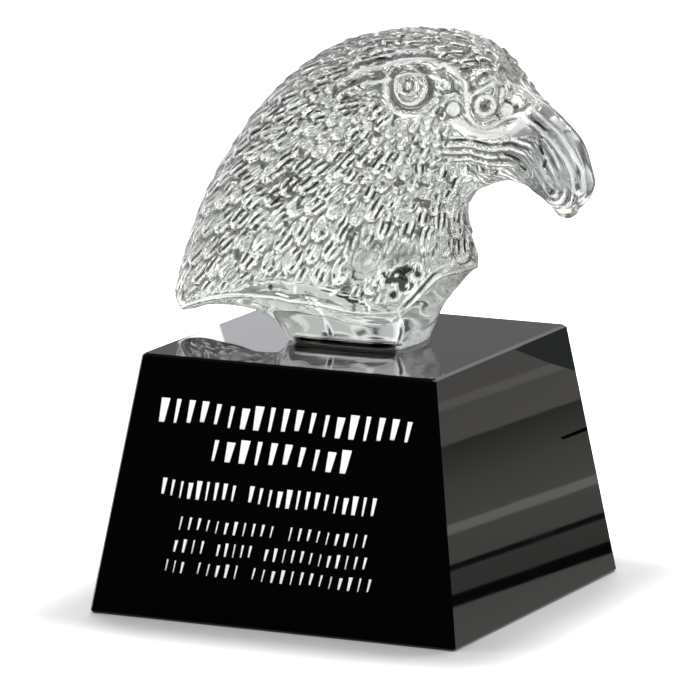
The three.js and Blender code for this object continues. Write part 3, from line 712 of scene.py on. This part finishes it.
# Clear glass: see-through by plain values. The grooves of the carving and between the flutes of the feathers
# get painted shade in the glass's colour, their ridges painted highlights, flecks of both are strewn over the
# coat, and a bump turns the light between them.
def clearGlass():
    look, glass = headLook, glassLook
    material, shader, field = newMaterial("clearMouldedGlass", glass["plain"])
    across, share, cover, cavity, polish, calm = (
        field.make("ShaderNodeAttribute", {"attribute_name": name}, output=2)
        for name in ("featherAcross", "featherShare", "featherCover", "cavity", "polish", "calm"))
    place = field.make("ShaderNodeTexCoord", output=3)
    broken, wobble, wide, fleck, haze = (
        noiseOf(field, place, *glass[name]) for name in ("broken", "wobble", "wide", "fleck", "haze"))
    cellSettings = {"feature": "SMOOTH_F1"}
    cells = field.make("ShaderNodeTexVoronoi", cellSettings, {"Vector": place, "Scale": glass["cellScale"]})
    inside = cover * share.ramped(0.05, 0.3) * share.ramped(0.95, 0.75)
    waves = ((across + (wobble - 0.5) * 2.4) * (tau / look["flutePitch"])).cosine()
    crests = waves * 0.5 + 0.5
    drawn = polish.absolute().ramped(0.0, 0.6)
    uneven = (wide * (0.16 * unit) + cells * (0.25 * unit)) * (1 - calm * 0.75) * (1 - drawn * 0.8)
    linkTo(bumpOf(crests * crests * inside * (look["fluteDepth"] * unit) + uneven), shader, "Normal")
    pale = polish.ramped(0.1, 0.7)
    dull = haze.ramped(0.45, 0.8) * glass["hazeRoughness"] + calm * glass["calmRoughness"]
    linkTo(dull + pale * glass["paleRoughness"] + glass["roughness"], shader, "Roughness")
    # Painted shade: the glass's colour darkens between the flutes, in the carving's hollows, where painted
    # shade is drawn and in dark flecks
    grooves = waves.ramped(-0.1, -0.6) * inside * (broken.ramped(0.47, 0.53) * 0.92 + 0.08)
    darkFlecks = fleck.ramped(0.64, 0.69) * (1 - calm) * (1 - drawn) * 0.95
    whiteFlecks = fleck.ramped(0.36, 0.32) * (1 - calm)
    shade = grooves.orMore(cavity.ramped(-0.03, -0.17) * 0.87)
    shade = shade.orMore(polish.ramped(-0.1, -0.6)).orMore(darkFlecks)
    # Painted highlight: the glass's colour turns white on the flutes' crests, the carving's ridges, white
    # flecks and where painted highlight is drawn
    gleam = waves.ramped(0.5, 0.95) * inside * broken.ramped(0.38, 0.5)
    gleam = gleam.orMore(cavity.ramped(0.04, 0.18)).orMore(whiteFlecks).orMore(pale)
    # Smooth parts take the darker tint: painted shade
    body = mixColours(field, calm, look["tint"], look["smoothShadeTint"])
    body = mixColours(field, gleam, body, (1, 1, 1, 1))
    linkTo(mixColours(field, shade, body, look["paintedShadeTint"]), shader, "Base Color")
    return material


# The plinth
plinthLook = {
    "footSide": 0.125,
    "topSide": 0.100,
    "chamfer": 0.0007,
    "strokeDepth": 0.0005,
    "blockWidthShare": 0.78,    # of the face's middle width
    "blockTopShare": 0.84,      # of the face's height
    "blockHeightShare": 0.68,
    "barOut": 0.001,            # how far the cutter stands off the face
    "strokeTaper": 0.62,        # width of a stroke's foot as a share of its top's
    "strokeLean": 0.12,
    "glass": (0.0006, 0.0006, 0.0007, 1),
    "glassIOR": 1.52,
    "roughness": 0.006,
    "smearRoughness": 0.035,    # more where there are smears
    "smears": (35.0, 4.0),      # scale and detail of the noise
    "ripple": (22.0, 1.0),
    "rippleHeight": 0.00002,
    "etchedDark": (0.78, 0.79, 0.8, 1),     # grain of the cut strokes
    "etchedPale": (0.93, 0.93, 0.93, 1),
    "etchedRoughness": 0.6,
    "grain": (2500.0, 2.0),
    "grainHeight": 0.00003,
}

# Rows of strokes on the front: top, height, shift to the right and width as shares of the
# block, how bold the strokes are, and groups, each a share of the row's width and a number
# of strokes
panelRows = [
    (0, 0.135, 0.006, 1, 0.64, [(1, 19)]),
    (0.195, 0.13, -0.006, 0.56, 0.64, [(1, 10)]),
    (0.443, 0.105, -0.04, 0.85, 0.6, [(0.36, 9), (0.6, 14)]),
    (0.649, 0.075, -0.016, 0.75, 0.38, [(0.52, 11), (0.43, 9)]),
    (0.773, 0.075, -0.021, 0.77, 0.38, [(0.18, 4), (0.2, 5), (0.54, 12)]),
    (0.889, 0.075, -0.023, 0.82, 0.38, [(0.11, 3), (0.22, 5), (0.59, 13)]),
]

# The strokes' top and bottom as shares of the row's height from its top, and how wide they
# are, used one after another
strokeKinds = [
    (0, 1, 1), (0.1, 1, 0.45), (0, 0.86, 0.8), (0, 1, 0.5), (0.14, 1, 0.9), (0.06, 0.9, 0.55), (0, 0.94, 0.7),
]


# Corners of the strokes on the face, (across, up) pairs in metres: wedges that all lean the
# same way and differ in height and width. They spell nothing.
def strokeOutlines(faceWidth, faceHeight):
    look = plinthLook
    blockWidth = faceWidth * look["blockWidthShare"]
    blockTop = faceHeight * look["blockTopShare"]
    blockHeight = faceHeight * look["blockHeightShare"]
    outlines = []
    for rowIndex, (rowTop, rowHeight, shift, width, bold, groups) in enumerate(panelRows):
        rowWidth = blockWidth * width
        gap = (1 - sum(share for share, _ in groups)) * rowWidth / max(len(groups) - 1, 1)
        groupStart = blockWidth * shift - rowWidth / 2
        for share, strokes in groups:
            pitch = share * rowWidth / strokes
            for i in range(strokes):
                middle = groupStart + pitch * (i + 0.5)
                high, low, wide = strokeKinds[(i * 3 + rowIndex) % len(strokeKinds)]
                top = blockTop - (rowTop + high * rowHeight) * blockHeight
                bottom = blockTop - (rowTop + low * rowHeight) * blockHeight
                halfTop = pitch * bold * wide / 2
                halfBottom = halfTop * look["strokeTaper"]
                lean = pitch * look["strokeLean"]
                outlines.append([
                    (middle - lean - halfBottom, bottom), (middle - lean + halfBottom, bottom),
                    (middle + lean + halfTop, top), (middle + lean - halfTop, top),
                ])
            groupStart += share * rowWidth + gap
    return np.array(outlines)


# Closed bars through the face, one for each stroke: its outline once below and once above
def strokeBars(outlines, slant):
    look = plinthLook
    count = len(outlines)
    depths = np.array([-look["strokeDepth"], look["barOut"]])
    across = np.repeat(outlines[:, None, :, 0], 2, axis=1)
    up = np.repeat(outlines[:, None, :, 1], 2, axis=1)
    out = np.broadcast_to(depths[None, :, None], across.shape)
    y = up * math.sin(slant) - out * math.cos(slant) - look["footSide"] / 2
    z = up * math.cos(slant) + out * math.sin(slant)
    vertices = np.stack([across, y, z], axis=-1).reshape(-1, 3)
    box = np.array([[3, 2, 1, 0], [4, 5, 6, 7], [0, 1, 5, 4], [1, 2, 6, 5], [2, 3, 7, 6], [3, 0, 4, 7]])
    faces = (box[None] + 8 * np.arange(count)[:, None, None]).reshape(-1, 4)
    flat = np.zeros(len(faces), bool)
    return meshObject("stroke_cutter", vertices, faces.ravel(), np.full(len(faces), 4), flat)


# A square block that narrows upwards, its edges chamfered: four rings of eight corners
def makePlinth():
    look = plinthLook
    height = plinthTop
    lean = (look["footSide"] - look["topSide"]) / 2 / height
    cut = look["chamfer"]
    levels = np.array([0, cut, height - cut, height])
    halfSides = look["footSide"] / 2 - lean * levels - np.array([cut, 0, 0, cut])
    signs = np.array([(-1, -1), (-1, -1), (1, -1), (1, -1), (1, 1), (1, 1), (-1, 1), (-1, 1)])
    cutsX = np.array([0, 1, 1, 0, 0, 1, 1, 0])
    x = signs[:, 0] * (halfSides[:, None] - cut * cutsX)
    y = signs[:, 1] * (halfSides[:, None] - cut * (1 - cutsX))
    z = np.broadcast_to(levels[:, None], x.shape)
    vertices = np.stack([x, y, z], axis=-1).reshape(-1, 3)
    corners, sizes = ringFaces(4, 8)
    block = meshObject("plinth_block", vertices, corners, sizes, np.zeros(len(sizes), bool))
    slant = math.atan(lean)
    faceWidth = (look["footSide"] + look["topSide"]) / 2
    cutter = strokeBars(strokeOutlines(faceWidth, height / math.cos(slant)), slant)
    block.data.materials.append(blackGlass())
    cutter.data.materials.append(etchedWhite())
    engrave = block.modifiers.new("engrave", "BOOLEAN")
    engrave.operation = "DIFFERENCE"
    engrave.solver = "EXACT"
    engrave.material_mode = "TRANSFER"
    engrave.object = cutter
    settled = block.evaluated_get(bpy.context.evaluated_depsgraph_get())
    engraved = bpy.data.meshes.new_from_object(settled)
    block.modifiers.clear()
    block.data = engraved
    bpy.data.objects.remove(cutter)
    return block


# Polished black glass with faint smears in its gloss
def blackGlass():
    look = plinthLook
    plain = {"Base Color": look["glass"], "IOR": look["glassIOR"]}
    material, shader, field = newMaterial("blackPolishedGlass", plain)
    place = field.make("ShaderNodeTexCoord", output=3)
    smears = noiseOf(field, place, *look["smears"])
    ripple = noiseOf(field, place, *look["ripple"])
    linkTo(smears.ramped(0.35, 0.8) * look["smearRoughness"] + look["roughness"], shader, "Roughness")
    linkTo(bumpOf(ripple * look["rippleHeight"]), shader, "Normal")
    return material


# Cut strokes, frosted white with a fine grain
def etchedWhite():
    look = plinthLook
    material, shader, field = newMaterial("frostedStroke", {"Roughness": look["etchedRoughness"]})
    place = field.make("ShaderNodeTexCoord", output=3)
    grain = noiseOf(field, place, *look["grain"])
    linkTo(mixColours(field, grain, look["etchedDark"], look["etchedPale"]), shader, "Base Color")
    linkTo(bumpOf(grain * look["grainHeight"]), shader, "Normal")
    return material


# Floor, lights, cards and camera
stageLook = {
    "floorHalf": 6.0,
    "floorLevel": -0.0001,          # just under the plinth
    "floorColour": (0.93, 0.93, 0.935, 1),
    # Painted shadow round the plinth: the floor's glow is left out near it
    "paintedShadowReach": (0.005, 0.052),    # from the plinth, where the floor's own glow begins and is full
    "azimuth": 25.24,
    "elevation": 10.96,
    "distance": 2.3223,
    "aim": (-0.00222, 0.0, 0.0771),
    "lens": 381.8,
    "sensor": 36,                   # lens and sensor in mm
    "clip": (0.05, 50),
    "lampAim": (0, 0, 0.1),
    "lamps": [      # name, place, size, watts, and whether the glass shows it
        ("soft_overhead", (0, 0, 1.4), (1.6, 1.6), 3, False),
        ("soft_behind", (-0.26, 0.86, 1.6), (1.0, 1.0), 15, False),
        ("soft_front", (0.4, -1.3, 0.5), (0.8, 0.8), 9, False),
        ("glint_left", (-0.7, -0.3, 0.9), (0.3, 0.06), 1.6, True),
        ("glint_back", (0.5, 0.8, 0.9), (0.3, 0.06), 1.6, True),
    ],
}
stageAzimuth, stageElevation = math.radians(stageLook["azimuth"]), math.radians(stageLook["elevation"])
towardsCamera = Vector((
    math.sin(stageAzimuth) * math.cos(stageElevation),
    -math.cos(stageAzimuth) * math.cos(stageElevation),
    math.sin(stageElevation)))
cameraPlace = Vector(stageLook["aim"]) + towardsCamera * stageLook["distance"]


# One flat face on the stage
def flatCard(name, corners, material):
    count = len(corners)
    card = meshObject(name, np.array(corners, float), np.arange(count), np.array([count]), np.zeros(1, bool))
    card.data.materials.append(material)
    return card


def rectangle(middle, acrossVector, upVector):
    signs = np.array([(-1, -1), (1, -1), (1, 1), (-1, 1)]) / 2
    return np.array(middle) + signs[:, :1] * np.array(acrossVector) + signs[:, 1:] * np.array(upVector)


def glowMaterial(name, colour, strength):
    plain = {"Base Color": (0, 0, 0, 1), "Roughness": 1.0, "Specular IOR Level": 0.0,
             "Emission Color": colour, "Emission Strength": strength}
    return newMaterial(name, plain)


# A pale floor, lit by the lamps round the plinth and by its own glow further out. The glow rises with the
# distance from the plinth's square, so a painted shadow lies round the plinth besides the lamps' real one.
def makeFloor():
    look = stageLook
    side = 2 * look["floorHalf"]
    plain = {"Base Color": look["floorColour"], "Roughness": 0.9, "Specular IOR Level": 0.1,
             "Emission Strength": 1.0}
    material, shader, field = newMaterial("paleFloorPaintedShadow", plain)
    place = field.make("ShaderNodeTexCoord", output=3)
    edge = plinthLook["footSide"] / 2
    away = field.make("ShaderNodeVectorMath", {"operation": "ABSOLUTE"}, {0: place})
    away = field.make("ShaderNodeVectorMath", {"operation": "SUBTRACT"}, {0: away, 1: (edge, edge, 0)})
    away = field.make("ShaderNodeVectorMath", {"operation": "MAXIMUM"}, {0: away, 1: (0, 0, 0)})
    away = field.make("ShaderNodeVectorMath", {"operation": "LENGTH"}, {0: away}, 1)
    # No glow near the plinth: painted shadow
    glow = mixColours(field, away.ramped(*look["paintedShadowReach"]), (0, 0, 0, 1), (1, 1, 1, 1))
    linkTo(glow, shader, "Emission Color")
    floor = flatCard("floor", rectangle((0, 0, look["floorLevel"]), (side, 0, 0), (0, side, 0)), material)
    floor.visible_transmission = False
    floor.visible_glossy = False


# Cards that only the polished faces of the plinth mirror. The banded one is given in space,
# the plain ones by where their corners show on a face: (across, back) on the top, (back, up)
# on the right side.
cardLook = {
    "bandMiddle": (0.2323, 0.3576, 0.0096),
    "bandAcross": (0.1167, -0.0574, 0.0),
    "bandUp": (0.0045, 0.0091, 0.1296),
    "bandSlope": -0.13,
    "bandRange": (-0.0915, 0.0185),
    "bandStops": [
        (0.0, (0.52, 0.51, 0.48, 1)), (0.17, (0.44, 0.43, 0.40, 1)), (0.175, (0.01, 0.01, 0.01, 1)),
        (0.21, (0.01, 0.01, 0.01, 1)), (0.215, (0.22, 0.22, 0.20, 1)), (0.285, (0.24, 0.24, 0.22, 1)),
        (0.29, (0.03, 0.03, 0.03, 1)), (0.305, (0.03, 0.03, 0.03, 1)), (0.31, (0.38, 0.37, 0.34, 1)),
        (0.40, (0.40, 0.39, 0.36, 1)), (0.405, (0.85, 0.83, 0.78, 1)), (0.43, (0.85, 0.83, 0.78, 1)),
        (0.435, (0.42, 0.41, 0.37, 1)), (0.55, (0.34, 0.33, 0.30, 1)), (0.68, (0.16, 0.16, 0.15, 1)),
        (0.685, (0.50, 0.48, 0.44, 1)), (0.79, (0.46, 0.45, 0.41, 1)), (0.795, (0.66, 0.64, 0.6, 1)),
        (0.82, (0.66, 0.64, 0.6, 1)), (0.825, (0.48, 0.46, 0.43, 1)), (1.0, (0.50, 0.48, 0.45, 1)),
    ],
    "plainCards": [     # name, face, corners, distance, colour and strength
        ("pale_card", "top", [(-0.034, -0.050), (-0.073, 0.028), (-0.043, 0.042), (-0.0055, -0.036)],
         0.5, (0.94, 0.94, 1, 1), 1.25),
        ("white_card", "top", [(-0.048, -0.0295), (-0.051, 0.006), (-0.0315, -0.0285), (-0.0365, -0.033)],
         0.47, (1, 1, 1, 1), 3.0),
        ("dark_card", "side", [(0.009, 0.0798), (0.053, 0.0825), (0.055, 0.0646), (0.031, 0.0722)],
         0.33, (0.9, 1, 1, 1), 0.16),
        ("wedge_card", "side", [(0.033, 0.048), (0.055, 0.0476), (0.055, 0.0463), (0.035, 0.047)],
         0.33, (1, 1, 1, 1), 0.0),
    ],
}


# The place that shows at a point of a polished face, at a distance along the mirrored ray
def mirroredFrom(point, facing, distance):
    ray = (Vector(point) - cameraPlace).normalized()
    return Vector(point) + (ray - 2 * ray.dot(facing) * facing) * distance


def onTop(corners, distance):
    return [mirroredFrom((x, y, plinthTop), Vector((0, 0, 1)), distance) for x, y in corners]


def onSide(corners, distance):
    slope = (plinthLook["footSide"] - plinthLook["topSide"]) / 2 / plinthTop
    facing = Vector((1, 0, slope)).normalized()
    half = plinthLook["footSide"] / 2
    return [mirroredFrom((half - slope * z, y, z), facing, distance) for y, z in corners]


# Seen in the gloss of the plinth, but not by the camera itself or through the glass
def mirrorOnly(card):
    card.visible_camera = False
    card.visible_transmission = False
    card.visible_shadow = False
    card.visible_diffuse = False


def makeCards():
    look = cardLook
    material, shader, field = glowMaterial("bandedCard", (1, 1, 1, 1), 1.0)
    place = field.make("ShaderNodeTexCoord", output=3)
    height = field.make("ShaderNodeSeparateXYZ", {}, {0: place}, 2)
    side = field.make("ShaderNodeSeparateXYZ", {}, {0: place}, 1)
    level = (height + side * look["bandSlope"]).fromTo(*look["bandRange"])
    bands = field.make("ShaderNodeValToRGB", {"stops": look["bandStops"]}, {0: level})
    linkTo(bands, shader, "Emission Color")
    banded = rectangle(look["bandMiddle"], look["bandAcross"], look["bandUp"])
    mirrorOnly(flatCard("banded_card", banded, material))
    placing = {"top": onTop, "side": onSide}
    for name, face, corners, distance, colour, strength in look["plainCards"]:
        plainMaterial = glowMaterial(name, colour, strength)[0]
        mirrorOnly(flatCard(name, placing[face](corners, distance), plainMaterial))


def areaLight(name, middle, size, power, inGlass):
    data = bpy.data.lights.new(name, "AREA")
    data.shape = "RECTANGLE"
    data.size, data.size_y = size
    data.energy = power
    lamp = bpy.data.objects.new(name, data)
    lamp.location = middle
    away = Vector(middle) - Vector(stageLook["lampAim"])
    lamp.rotation_euler = away.to_track_quat("Z", "Y").to_euler()
    lamp.visible_glossy = inGlass
    lamp.visible_transmission = inGlass
    bpy.context.scene.collection.objects.link(lamp)


# The room: plain white to the camera. Through the glass it is a pale room with upright dark
# and white screens all round, and dark and white layers above and below. The polished faces
# see a dim room behind the plinth, a bright one above it and to the left, and darkness in
# front. The floor sees a dim one all round.
roomLook = {
    "screens": 5,
    "turn": 0.22,
    "waver": 0.5,
    # where each band ends, how bright it is, and whether it covers the screens
    "screenBands": [
        (0.32, 2.0, 1), (0.44, 0.0, 1), (0.60, 3.5, 1), (0.75, 2.0, 1), (0.80, 0.02, 1), (1.0, 2.0, 1)],
    "layerBands": [
        (0.05, 0.05, 1), (0.13, 2.9, 1), (0.63, 0.0, 0), (0.80, 2.9, 1), (0.85, 0.0, 1), (1.0, 2.9, 1)],
    "bandEdge": 0.02,
    "layerWaver": 0.2,
    "noise": (4.0, 2.0),
    "inFront": (1.6, 1.6, 1.6, 1),
    "frontEdge": (-0.7, -0.3),      # how far to the front the screens come, along y
    "mirrored": (0.3, 0.305, 0.31, 1),
    "mirroredRound": (2.0, 2.0, 2.0, 1),
    "roundAbove": (0.32, 0.5),      # where the bright room begins, along z and x
    "roundLeft": (-0.6, -0.75),
    "darkFront": (-0.1, 0.2),       # where the dark room ends, along y
    "onFloor": (0.06, 0.06, 0.06, 1),
}


# Colour stops of level grey bands with a soft edge between each and the next
def greyBands(bands):
    stops = []
    start = 0.0
    for end, level, cover in bands:
        colour = (level, level, level, cover)
        stops += [(start, colour), (end, colour)]
        start = end + roomLook["bandEdge"]
    return stops


def makeWorld():
    look = roomLook
    world = bpy.data.worlds.new("studio")
    bpy.context.scene.world = world
    world.use_nodes = True
    tree = world.node_tree
    field = Field(tree)
    direction = field.make("ShaderNodeTexCoord")
    x, y, z = (field.make("ShaderNodeSeparateXYZ", {}, {0: direction}, axis) for axis in range(3))
    waver = (noiseOf(field, direction, *look["noise"]) - 0.5) * look["waver"]
    around = field.maths("ARCTAN2", x, y) * (look["screens"] / tau) + waver + look["turn"]
    share = field.maths("FRACT", around)
    screens = field.make("ShaderNodeValToRGB", {"stops": greyBands(look["screenBands"])}, {0: share})
    level = z * 0.5 + 0.5 + waver * look["layerWaver"]
    layers = {"stops": greyBands(look["layerBands"])}
    height = field.make("ShaderNodeValToRGB", layers, {0: level})
    covered = field.make("ShaderNodeValToRGB", layers, {0: level}, 1)
    room = mixColours(field, covered, screens, height)
    room = mixColours(field, y.ramped(*look["frontEdge"]), look["inFront"], room)
    beyond = z.ramped(*look["roundAbove"]).orMore(x.ramped(*look["roundLeft"]))
    mirrored = mixColours(field, beyond, look["mirrored"], look["mirroredRound"])
    mirrored = mixColours(field, y.ramped(*look["darkFront"]), (0, 0, 0, 1), mirrored)
    isCamera, isDiffuse, isMirrored = (field.make("ShaderNodeLightPath", output=i) for i in (0, 2, 5))
    shown = mixColours(field, isMirrored, room, mirrored)
    shown = mixColours(field, isDiffuse, shown, look["onFloor"])
    shown = mixColours(field, isCamera, shown, (1, 1, 1, 1))
    background = tree.nodes["Background"]
    tree.links.new(shown.socket, background.inputs["Color"])
    background.inputs["Strength"].default_value = 1.0


def makeCamera():
    data = bpy.data.cameras.new("camera")
    data.sensor_width = stageLook["sensor"]
    data.lens = stageLook["lens"]
    data.clip_start, data.clip_end = stageLook["clip"]
    camera = bpy.data.objects.new("camera", data)
    camera.location = cameraPlace
    camera.rotation_euler = towardsCamera.to_track_quat("Z", "Y").to_euler()
    bpy.context.scene.collection.objects.link(camera)
    bpy.context.scene.camera = camera


makeCamera()
print("camera placed")

head = makeHead()
head.data.materials.append(clearGlass())
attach(head, "root")
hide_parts("eagle_head")
print("eagle head made")

plinth = makePlinth()
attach(plinth, "root")
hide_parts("plinth")
print("plinth made")

makeFloor()
makeCards()
makeWorld()
for lampRow in stageLook["lamps"]:
    areaLight(*lampRow)
bpy.context.scene.view_settings.view_transform = "Standard"
print("stage set")
